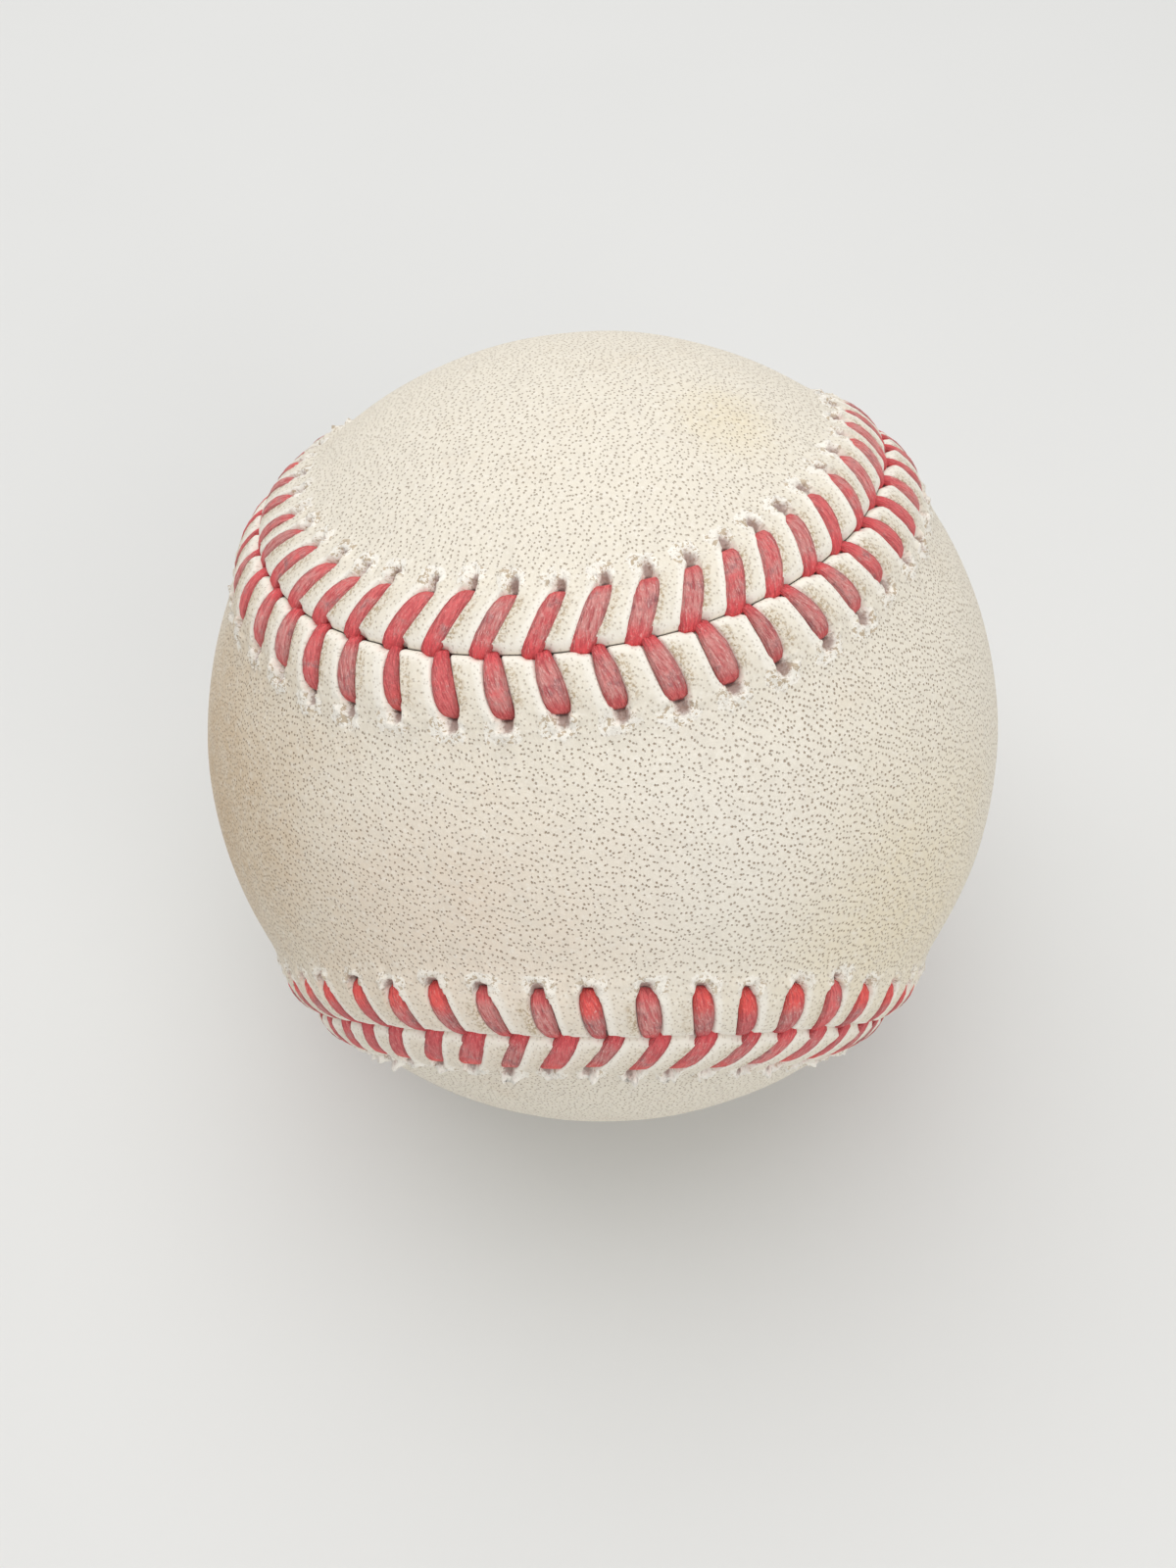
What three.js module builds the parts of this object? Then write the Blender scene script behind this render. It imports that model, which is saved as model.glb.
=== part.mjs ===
// A baseball: a cork and rubber centre, wound yarn, and leather covers sewn with red thread.
// Millimetres, +Z up, with the origin at the middle of the ball. Nothing on a baseball moves.
import * as THREE from "three";

// Layers from the middle outwards: a radius for the core, then the thickness of each layer round it
const corkRadius = 10.3;
const blackRubber = 3.95;
const redRubber = 2.4;
const washerThickness = 0.8;
const firstGreyWool = 13.65;
const whiteWool = 1.65;
const secondGreyWool = 1.75;
const finishingCotton = 0.35;
const leather = 1.25;
const layerGap = 0.2;

// Thread and stitches
const threadThickness = 0.5; // waxed thread is pressed flat where it lies
const threadWidth = 1.5; // across the leather, at the hole
const pinchedWidth = 0.8; // under the leather and down the gap between the covers
const threadClearance = 0.12;
const stitchCount = 108; // on each cover
const holeInset = 4.7; // from the middle of the seam to the middle of a hole
const holeEase = 0.3; // room for the thread across the slot of a hole
const gapEase = 0.3; // room for the thread between the edges of the covers
const strandGap = 0.5; // between two strands that go down the gap side by side
const lean = 1.65; // how far a strand runs forwards between its hole and the gap
const tailLength = 2.0; // an end of the thread, tucked under the leather

// Raised leather beside the seam
const weltMargin = 0.5; // flat leather outside a hole
const weltFall = 1.7; // where it comes down to the ball

// The seam on a ball of radius 1: the half width of a cover's waist, and how square its lobes are
const waistAngle = 22.6;
const lobeSquareness = 0.0268;
const lobeCentre = 105; // from the middle of the waist to the middle of a lobe, in degrees

// How the ball lies, in degrees
const tip = 53;
const sideLean = -10.3;
const spin = 48.6;

// Fineness of the facets
const quarterFacets = 4; // in a quarter of a circle
const panelRows = 3; // from the raised leather to the middle line of a cover
const seamSamples = 4320; // steps that the seam's length is measured in
const ventRadius = 1.0; // of the hole through each wound layer, which can't be a sealed shell

const colors = {
  cork: 0xb98a55,
  blackRubber: 0x2b2a2a,
  redRubber: 0x9e3b30,
  washer: 0xb5402f,
  greyWool: 0x8d8b86,
  whiteWool: 0xe6e1d3,
  cotton: 0xefeadb,
  leather: 0xece3d0,
  thread: 0xb5283a,
};

const blackInner = corkRadius + layerGap;
const blackOuter = blackInner + blackRubber;
const redInner = blackOuter + layerGap;
const redOuter = redInner + redRubber;
const woundLayers = [
  { name: "first_grey_wool_winding", thickness: firstGreyWool, color: colors.greyWool },
  { name: "white_wool_winding", thickness: whiteWool, color: colors.whiteWool },
  { name: "second_grey_wool_winding", thickness: secondGreyWool, color: colors.greyWool },
  { name: "finishing_cotton_winding", thickness: finishingCotton, color: colors.cotton },
];
const woundRadius = woundLayers.reduce((r, layer) => r + layerGap + layer.thickness, redOuter);

// Slots and raised leather follow the thread that they take
const coverGap = threadThickness + 2 * gapEase;
const slotLength = threadWidth + 2 * threadClearance;
const slotWidth = threadThickness + 2 * holeEase;
const weltWidth = holeInset + slotWidth / 2 + weltMargin;
const strandStagger = pinchedWidth + strandGap;

// A flat facet dips below the sphere in its middle, so the leather stands clear of the yarn by that much more
const radians = THREE.MathUtils.degToRad;
const sag = (span) => span ** 2 / (8 * woundRadius);
const lobeRadius = radians(180 - waistAngle - lobeCentre) * woundRadius;
const panelSag = sag((lobeRadius - weltWidth - weltFall) / (panelRows + 0.5));
const weltSag = sag(weltWidth);
const coverInner = woundRadius + layerGap + panelSag;
const ballRadius = coverInner + leather;
const weltRise = threadThickness + 2 * threadClearance + 2 * weltSag - layerGap - panelSag;
const weltRadius = ballRadius + weltRise;
const overRadius = weltRadius + threadClearance + threadThickness / 2;
const underRadius = woundRadius + weltSag + threadClearance + threadThickness / 2;

function named(name, geometry, color, roughness) {
  const material = new THREE.MeshStandardMaterial({ color, roughness, metalness: 0 });
  const mesh = new THREE.Mesh(geometry, material);
  mesh.name = name;
  return mesh;
}

// A point of a half circle, measured from the top of the axis
function arcPoint(radius, angle) {
  return new THREE.Vector2(radius * Math.sin(angle), radius * Math.cos(angle));
}

// The facet rows of a half circle, between two angles, with both ends
function arc(radius, from, to) {
  const apart = 1e-6;
  const angles = [from];
  for (let k = 1; k < 2 * quarterFacets; k++) {
    const angle = (k * Math.PI) / (2 * quarterFacets);
    if (angle > from + apart && angle < to - apart) {
      angles.push(angle);
    }
  }
  angles.push(to);
  return angles.map((angle) => arcPoint(radius, angle));
}

// A round solid about Z from its profile
function revolved(profile) {
  return new THREE.LatheGeometry(profile.toReversed(), 4 * quarterFacets).rotateX(Math.PI / 2);
}

function corkCore() {
  const profile = arc(corkRadius, 0, Math.PI);
  return named("cork_core", revolved(profile), colors.cork, 0.95);
}

// Half of a rubber layer, whose rim stays clear of the middle plane
function rubberCup(name, inner, outer, rimHeight, color, upper) {
  const inside = arc(inner, 0, Math.acos(rimHeight / inner)).reverse();
  const outside = arc(outer, 0, Math.acos(rimHeight / outer));
  const profile = [...outside, ...inside];
  const cup = named(name, revolved(profile), color, 0.7);
  cup.rotation.x = upper ? 0 : Math.PI;
  return cup;
}

// The rubber ring that seals the joint of the inner cups
function rubberWasher() {
  const half = washerThickness / 2;
  const profile = [
    new THREE.Vector2(blackInner, -half),
    new THREE.Vector2(blackInner, half),
    new THREE.Vector2(blackOuter, half),
    new THREE.Vector2(blackOuter, -half),
    new THREE.Vector2(blackInner, -half),
  ];
  return named("red_rubber_washer", revolved(profile), colors.washer, 0.7);
}

// Wound yarn as a hollow sphere, with a vent at the top
function winding(layer, inner) {
  const outer = inner + layer.thickness;
  const outside = arc(outer, Math.asin(ventRadius / outer), Math.PI);
  const inside = arc(inner, Math.asin(ventRadius / inner), Math.PI).reverse();
  return named(layer.name, revolved([...inside, ...outside]), layer.color, 0.95);
}

// The seam as a unit vector: a sphere's form of the curve that divides a ball into two like covers
function seamPoint(t) {
  const wide = (1 + Math.sin(radians(waistAngle))) / 2;
  const narrow = 1 - wide;
  const x = wide * Math.cos(t) + narrow * Math.cos(3 * t) - lobeSquareness * Math.cos(5 * t);
  const y = wide * Math.sin(t) - narrow * Math.sin(3 * t) - lobeSquareness * Math.sin(5 * t);
  const z = 2 * Math.sqrt(wide * narrow) * Math.sin(2 * t);
  return new THREE.Vector3(x, y, z).normalize();
}

// Even steps along the seam, which starts at the tip of a lobe of the front cover
const seamTable = (() => {
  const start = -Math.PI / 4;
  const table = [{ t: start, length: 0 }];
  for (let k = 1; k <= seamSamples; k++) {
    const t = start + (2 * Math.PI * k) / seamSamples;
    const step = seamPoint(t).distanceTo(seamPoint(table[k - 1].t));
    table.push({ t, length: table[k - 1].length + step });
  }
  return table;
})();
const seamLength = seamTable.at(-1).length * weltRadius;
const pitch = seamLength / stitchCount;

// The seam's own angle at a distance along it
function seamAngle(along) {
  const share = THREE.MathUtils.euclideanModulo(along / seamLength, 1);
  const wanted = share * seamTable.at(-1).length;
  let low = 0;
  let high = seamTable.length - 1;
  while (high - low > 1) {
    const middle = (low + high) >> 1;
    if (seamTable[middle].length > wanted) {
      high = middle;
    } else {
      low = middle;
    }
  }
  const a = seamTable[low];
  const b = seamTable[high];
  return a.t + ((b.t - a.t) * (wanted - a.length)) / (b.length - a.length);
}

// The directions at a place on the seam: out of the ball, along the seam, and across to the front cover
function seamFrame(along) {
  const t = seamAngle(along);
  const reach = 1e-4;
  const up = seamPoint(t);
  const forward = seamPoint(t + reach).sub(seamPoint(t - reach)).normalize();
  const across = new THREE.Vector3().crossVectors(up, forward).normalize();
  return { up, forward, across };
}

// A place near the seam: how far along it, how far in from it (plus is the front cover), and how far out
function spot(along, inset, radius) {
  const { up, across } = seamFrame(along);
  const angle = inset / ballRadius;
  const out = up.multiplyScalar(Math.cos(angle)).addScaledVector(across, Math.sin(angle));
  return out.multiplyScalar(radius);
}

// The point on a cover's middle line that a place on its edge faces; side is 1 for the front cover
function middlePoint(side, along) {
  const lengthwise = new THREE.Vector3(1, -side, 0).normalize();
  const edge = seamPoint(seamAngle(along));
  const tipPoint = seamPoint(-side * (Math.PI / 4));
  const reach = Math.atan2(tipPoint.dot(lengthwise), side * tipPoint.z);
  const here = Math.atan2(edge.dot(lengthwise), side * edge.z);
  const angle = radians(lobeCentre) * Math.sin(((Math.PI / 2) * here) / reach);
  const middle = new THREE.Vector3(0, 0, side * Math.cos(angle));
  return middle.addScaledVector(lengthwise, Math.sin(angle));
}

// A surface that is built up from points and triangles; flip turns its faces round
function surface(flip) {
  const points = [];
  const index = [];
  const add = (point) => points.push(point) - 1;
  const triangle = (a, b, c) => index.push(...(flip ? [a, c, b] : [a, b, c]));
  const quad = (a, b, c, d) => {
    triangle(a, b, c);
    triangle(a, c, d);
  };
  const geometry = () => {
    const made = new THREE.BufferGeometry().setFromPoints(points).setIndex(index);
    made.computeVertexNormals();
    return made;
  };
  return { add, triangle, quad, geometry };
}

// The four corners of a slot in the leather, in order round it
function slotCorners(side, stitch, radius) {
  const along = stitch * pitch;
  const near = side * (holeInset - slotWidth / 2);
  const far = side * (holeInset + slotWidth / 2);
  const back = along - slotLength / 2;
  const front = along + slotLength / 2;
  const places = [[back, near], [front, near], [front, far], [back, far]];
  return places.map(([where, inset]) => spot(where, inset, radius));
}

// A direction across the panel of a cover, from the foot of the raised leather to the middle line
function panelPoint(side, along, share) {
  const from = spot(along, side * (weltWidth + weltFall), 1);
  const towards = middlePoint(side, along);
  const whole = from.angleTo(towards);
  const point = from.multiplyScalar(Math.sin((1 - share) * whole));
  return point.addScaledVector(towards, Math.sin(share * whole)).normalize();
}

// The rows of one face of a cover: the raised leather first, then the panel
function faceRows(skin, side, radius) {
  const betweenStitches = Array.from({ length: stitchCount }, (_, k) => (k + 0.5) * pitch);
  const row = (make) => betweenStitches.map((along) => skin.add(make(along)));
  const rows = [];
  rows.push(row((along) => spot(along, side * (coverGap / 2), radius + weltRise)));
  rows.push(row((along) => spot(along, side * weltWidth, radius + weltRise)));
  for (let k = 0; k <= panelRows; k++) {
    const share = k / (panelRows + 0.5);
    rows.push(row((along) => panelPoint(side, along, share).multiplyScalar(radius)));
  }
  return rows;
}

// Closes the last row across the middle line, from the tip of one lobe to the other
function zip(row, side, triangle) {
  const first = side > 0 ? 0 : Math.round(stitchCount / 4);
  const order = row.map((_, k) => {
    const step = k % 2 ? -(k + 1) / 2 : k / 2;
    return row[(first + step + stitchCount) % stitchCount];
  });
  for (let k = 0; k + 2 < order.length; k++) {
    const [a, b, c] = order.slice(k, k + 3);
    if (k % 2) {
      triangle(a, b, c);
    } else {
      triangle(a, c, b);
    }
  }
}

// One face of a cover, with its slots open; returns the loops that join it to the other face
function coverFace(skin, side, radius, outward) {
  const triangle = outward ? skin.triangle : (a, b, c) => skin.triangle(a, c, b);
  const quad = (a, b, c, d) => {
    triangle(a, b, c);
    triangle(a, c, d);
  };
  const rows = faceRows(skin, side, radius);
  const slots = [];
  for (let k = 0; k < stitchCount; k++) {
    const next = (k + 1) % stitchCount;
    const around = [rows[0][k], rows[0][next], rows[1][next], rows[1][k]];
    const slot = slotCorners(side, k + 1, radius + weltRise).map(skin.add);
    for (let n = 0; n < 4; n++) {
      const m = (n + 1) % 4;
      quad(around[n], around[m], slot[m], slot[n]);
    }
    for (let r = 1; r + 1 < rows.length; r++) {
      quad(rows[r][k], rows[r][next], rows[r + 1][next], rows[r + 1][k]);
    }
    slots.push(slot);
  }
  zip(rows.at(-1), side, triangle);
  return { edge: rows[0], slots };
}

// A cover: two faces, the edge along the seam and the walls of the slots
function leatherCover(name, side) {
  const skin = surface(side < 0);
  const outer = coverFace(skin, side, ballRadius, true);
  const inner = coverFace(skin, side, coverInner, false);
  for (let k = 0; k < stitchCount; k++) {
    const next = (k + 1) % stitchCount;
    skin.quad(outer.edge[k], inner.edge[k], inner.edge[next], outer.edge[next]);
    for (let n = 0; n < 4; n++) {
      const m = (n + 1) % 4;
      skin.quad(outer.slots[k][n], outer.slots[k][m], inner.slots[k][m], inner.slots[k][n]);
    }
  }
  return named(name, skin.geometry(), colors.leather, 0.6);
}

// One stitch: up through its hole, over the leather, and down the gap between the covers
function strand(stitch, side) {
  const hole = stitch * pitch;
  const gap = hole + lean - side * (strandStagger / 2);
  return [
    { point: spot(hole, side * holeInset, underRadius), width: pinchedWidth },
    { point: spot(hole, side * holeInset, overRadius), width: threadWidth },
    { point: spot(gap, 0, overRadius), width: pinchedWidth },
    { point: spot(gap, 0, underRadius), width: pinchedWidth },
  ];
}

// One needle's half of the thread: it changes sides under the leather after each stitch
function needleRun(firstSide) {
  const run = [];
  let side = firstSide;
  for (let stitch = 0; stitch < stitchCount; stitch++) {
    run.push(...strand(stitch, side));
    side = -side;
  }
  const end = (stitchCount - 1) * pitch + lean + side * (strandStagger / 2);
  run.push({ point: spot(end, side * tailLength, underRadius), width: pinchedWidth });
  return run;
}

// The whole thread: its middle lies under the first stitch, and a needle takes each end round the ball
function threadRoute() {
  const middle = { point: spot(0, 0, underRadius), width: pinchedWidth };
  return [...needleRun(1).reverse(), middle, ...needleRun(-1)];
}

// The way that the thread's flat side faces at a point, without a half turn from the point before
function acrossBend(into, out, point, last) {
  const straight = 1e-6;
  const bend = new THREE.Vector3().crossVectors(into, out);
  if (bend.length() < straight) {
    bend.crossVectors(into, point);
  }
  bend.normalize();
  return last && bend.dot(last) < 0 ? bend.negate() : bend;
}

// Four corners round each point of the route, mitred where it turns
function threadRings(skin, route) {
  const end = route.length - 1;
  const legs = route.slice(1).map(({ point }, k) => point.clone().sub(route[k].point).normalize());
  let bend = null;
  return route.map(({ point, width }, k) => {
    const into = legs[Math.max(k - 1, 0)];
    const out = legs[Math.min(k, end - 1)];
    bend = acrossBend(into, out, point, bend);
    const before = new THREE.Vector3().crossVectors(bend, into);
    const after = new THREE.Vector3().crossVectors(bend, out);
    const flat = before.clone().add(after).divideScalar(1 + before.dot(after));
    const half = bend.clone().multiplyScalar(width / 2);
    flat.multiplyScalar(threadThickness / 2);
    const low = point.clone().sub(flat);
    const high = point.clone().add(flat);
    const ring = [low.clone().sub(half), low.add(half), high.clone().add(half), high.sub(half)];
    return ring.map(skin.add);
  });
}

function stitchingThread() {
  const skin = surface(true);
  const route = threadRoute();
  const rings = threadRings(skin, route);
  skin.quad(...rings[0].toReversed());
  for (let k = 0; k + 1 < rings.length; k++) {
    for (let n = 0; n < 4; n++) {
      const m = (n + 1) % 4;
      skin.quad(rings[k][n], rings[k][m], rings[k + 1][m], rings[k + 1][n]);
    }
  }
  skin.quad(...rings.at(-1));
  const length = route.slice(1).reduce((sum, { point }, k) => sum + point.distanceTo(route[k].point), 0);
  console.log("ball radius", ballRadius.toFixed(2), "pitch", pitch.toFixed(3), "thread", length.toFixed(0));
  return named("stitching_thread", skin.geometry(), colors.thread, 0.7);
}

const ball = new THREE.Group();
ball.rotation.set(radians(tip), radians(sideLean), radians(spin), "XYZ");
const rim = washerThickness / 2 + layerGap;
ball.add(corkCore());
ball.add(rubberCup("upper_black_rubber_cup", blackInner, blackOuter, rim, colors.blackRubber, true));
ball.add(rubberCup("lower_black_rubber_cup", blackInner, blackOuter, rim, colors.blackRubber, false));
ball.add(rubberWasher());
ball.add(rubberCup("upper_red_rubber_cup", redInner, redOuter, layerGap / 2, colors.redRubber, true));
ball.add(rubberCup("lower_red_rubber_cup", redInner, redOuter, layerGap / 2, colors.redRubber, false));
let reached = redOuter;
for (const layer of woundLayers) {
  ball.add(winding(layer, reached + layerGap));
  reached += layerGap + layer.thickness;
}
ball.add(leatherCover("front_leather_cover", 1));
ball.add(leatherCover("back_leather_cover", -1));
ball.add(stitchingThread());

const group = new THREE.Group();
group.add(ball);
export default group;
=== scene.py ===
import math

import bmesh
import bpy
import numpy as np
from mathutils import Matrix, Vector, noise


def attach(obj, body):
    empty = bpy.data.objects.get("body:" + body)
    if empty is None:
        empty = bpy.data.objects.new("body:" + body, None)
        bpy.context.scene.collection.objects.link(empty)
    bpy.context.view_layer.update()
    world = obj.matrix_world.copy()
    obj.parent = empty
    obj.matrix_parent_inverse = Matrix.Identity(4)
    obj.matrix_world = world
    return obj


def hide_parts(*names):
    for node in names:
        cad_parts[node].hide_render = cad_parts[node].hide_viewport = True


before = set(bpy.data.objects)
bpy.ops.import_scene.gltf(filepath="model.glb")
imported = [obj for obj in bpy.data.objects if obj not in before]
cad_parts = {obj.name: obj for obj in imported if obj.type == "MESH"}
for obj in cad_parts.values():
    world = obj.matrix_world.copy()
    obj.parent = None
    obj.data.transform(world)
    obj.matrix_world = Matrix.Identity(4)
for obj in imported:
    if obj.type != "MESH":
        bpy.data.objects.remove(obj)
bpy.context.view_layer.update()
print("frame loaded:", len(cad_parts), "nodes")

# sizes in mm, as in the part's source; they become metres when a mesh is placed
ballSet = {"radius": 36.88, "inner": 35.63, "weltRadius": 37.47, "weltInner": 36.22,
           "tip": 53.0, "sideLean": -10.3, "spin": 48.6}
seamSet = {"waist": 22.6, "squareness": 0.0268, "samples": 8640, "nudge": 1e-4,
           "lobeCentre": 105.0, "lobeFade": (25, 75)}
# the camera's values are in metres, degrees and, for lens and sensor, mm
cameraSet = {"place": (-0.001317, -0.085747, 0.113409), "tilt": 35.0, "lens": 33.75, "sensor": 36.0, "near": 0.01}


def makeCamera():
    data = bpy.data.cameras.new("camera")
    data.sensor_fit = "VERTICAL"
    data.sensor_height = cameraSet["sensor"]
    data.lens = cameraSet["lens"]
    data.clip_start = cameraSet["near"]
    camera = bpy.data.objects.new("camera", data)
    camera.location = cameraSet["place"]
    camera.rotation_euler = (math.radians(cameraSet["tilt"]), 0, 0)
    bpy.context.scene.collection.objects.link(camera)
    bpy.context.scene.camera = camera


makeCamera()
print("camera made")


# shader maths: a wrapped socket that can be added, multiplied and so on
class Wire:
    def __init__(self, tree, socket=None):
        self.tree = tree
        self.socket = socket

    def add(self, kind, settings=None, sockets=None, out=0):
        node = self.tree.nodes.new(kind)
        for name, value in (settings or {}).items():
            setattr(node, name, value)
        for name, value in (sockets or {}).items():
            if isinstance(value, Wire):
                self.tree.links.new(value.socket, node.inputs[name])
            else:
                node.inputs[name].default_value = value
        return Wire(self.tree, node.outputs[out]) if len(node.outputs) else None

    def math(self, operation, first, second):
        return self.add("ShaderNodeMath", {"operation": operation}, {0: first, 1: second})

    def __add__(self, other):
        return self.math("ADD", self, other)

    def __radd__(self, other):
        return self.math("ADD", other, self)

    def __sub__(self, other):
        return self.math("SUBTRACT", self, other)

    def __rsub__(self, other):
        return self.math("SUBTRACT", other, self)

    def __mul__(self, other):
        return self.math("MULTIPLY", self, other)

    def __rmul__(self, other):
        return self.math("MULTIPLY", other, self)

    def __truediv__(self, other):
        return self.math("DIVIDE", self, other)

    def __rtruediv__(self, other):
        return self.math("DIVIDE", other, self)

    def __pow__(self, other):
        return self.math("POWER", self, other)

    def most(self, other):
        return self.math("MAXIMUM", self, other)

    def size(self):
        return self.math("ABSOLUTE", self, 0.0)

    # 0 below low, 1 above high, smooth between; low may be the larger
    def step(self, low, high):
        return self.add("ShaderNodeMapRange", {"interpolation_type": "SMOOTHSTEP"},
                        {"Value": self, "From Min": low, "From Max": high})

    def vector(self, operation, other=(0, 0, 0), out="Vector"):
        return self.add("ShaderNodeVectorMath", {"operation": operation}, {0: self, 1: other}, out)

    def scaled(self, x, y, z):
        return self.vector("MULTIPLY", (x, y, z))

    def shifted(self, x, y, z):
        return self.vector("ADD", (x, y, z))

    def axis(self, name):
        return self.add("ShaderNodeSeparateXYZ", {}, {"Vector": self}, name)

    # one colour gone over to another by a share
    def blend(self, first, second, share):
        return self.add("ShaderNodeMix", {"data_type": "RGBA"}, {0: share, 6: first, 7: second}, 2)

    def under(self, colour, share):
        return self.blend(self, colour, share)

    def noise(self, scale, detail=2.0, rough=0.5):
        return self.add("ShaderNodeTexNoise", {}, {"Vector": self, "Scale": scale, "Detail": detail,
                                                   "Roughness": rough}, "Fac")

    # a normal from heights in mm
    def bump(self):
        return self.add("ShaderNodeBump", {}, {"Strength": 1.0, "Distance": 0.001, "Height": self})


# a colour as it looks on screen, 0 to 255, made linear for the shader
def tint(red, green, blue):
    def linear(value):
        share = value / 255
        return share / 12.92 if share <= 0.04045 else ((share + 0.055) / 1.055) ** 2.4
    return (linear(red), linear(green), linear(blue), 1.0)


# a new material, with its Object coordinates in millimetres
def startMaterial(name):
    material = bpy.data.materials.new(name)
    material.use_nodes = True
    material.node_tree.nodes.clear()
    start = Wire(material.node_tree)
    place = start.add("ShaderNodeTexCoord", out="Object").scaled(1000, 1000, 1000)
    return material, start, place


def endMaterial(start, sockets):
    surface = start.add("ShaderNodeBsdfPrincipled", {}, sockets)
    start.add("ShaderNodeOutputMaterial", {}, {"Surface": surface})


def attribute(start, name, out="Fac"):
    return start.add("ShaderNodeAttribute", {"attribute_name": name}, out=out)


# worn cowhide: cream, with stains (the two on the left front are partly painted shade), open pores in rows, and
# whiter leather where it is pulled at the holes
leatherSet = {
    "cream": tint(236, 228, 212), "stainAndShade": tint(210, 186, 154), "yellowed": tint(234, 219, 184),
    "rubbed": tint(240, 234, 223), "flushed": tint(236, 220, 202), "grey": tint(220, 212, 199),
    "clean": tint(250, 245, 235), "pore": tint(140, 110, 79), "dirtAndCrumbShade": tint(176, 150, 112),
    "trough": tint(160, 136, 128), "dark": tint(72, 52, 50),
    # places of another colour: which one, the middle in mm, the radius and the strength; the two stains on the
    # left front also paint the shade of the darker left side
    "patches": (("yellowed", (9.8, 3.8, 35.3), 9.0, 0.5), ("stainAndShade", (-34.0, -14.0, 10.0), 35.0, 0.95),
                ("stainAndShade", (-19.0, -30.0, 10.0), 18.0, 0.35), ("yellowed", (25.0, -26.0, 10.0), 27.0, 0.5),
                ("stainAndShade", (20.0, 24.0, 18.0), 14.0, 0.4), ("stainAndShade", (-16.0, 30.0, -10.0), 12.0, 0.5),
                ("rubbed", (8.0, -27.0, 23.0), 22.0, 0.5), ("flushed", (-10.0, -31.0, 14.0), 28.0, 0.7)),
    # how much of each colour there is where there is most of it
    "clouding": 0.2, "mottling": 0.35, "flecks": 0.4, "holeWhite": 0.4, "gapWhite": 0.6, "besideWhite": 0.65,
    "dustFilm": 0.14, "dustSpecks": 0.6, "crumbDirtAndShade": 0.8, "troughShade": 0.85, "pitShade": 0.75, "gapShade": 0.5,
    # pores to a mm along their slanted rows, rows to a mm, and how far the pores stray from the rows
    "poreRows": (2.9, 1.7), "rowSlant": 0.42, "poreScatter": 0.8,
    # sizes and heights in mm
    "poreSize": 0.058, "poreDepth": 0.07, "grain": 0.045, "creases": 0.16, "mottleHeight": 0.08,
    "tearHeight": 0.14, "roughness": 0.62, "shine": 0.35}


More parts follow.
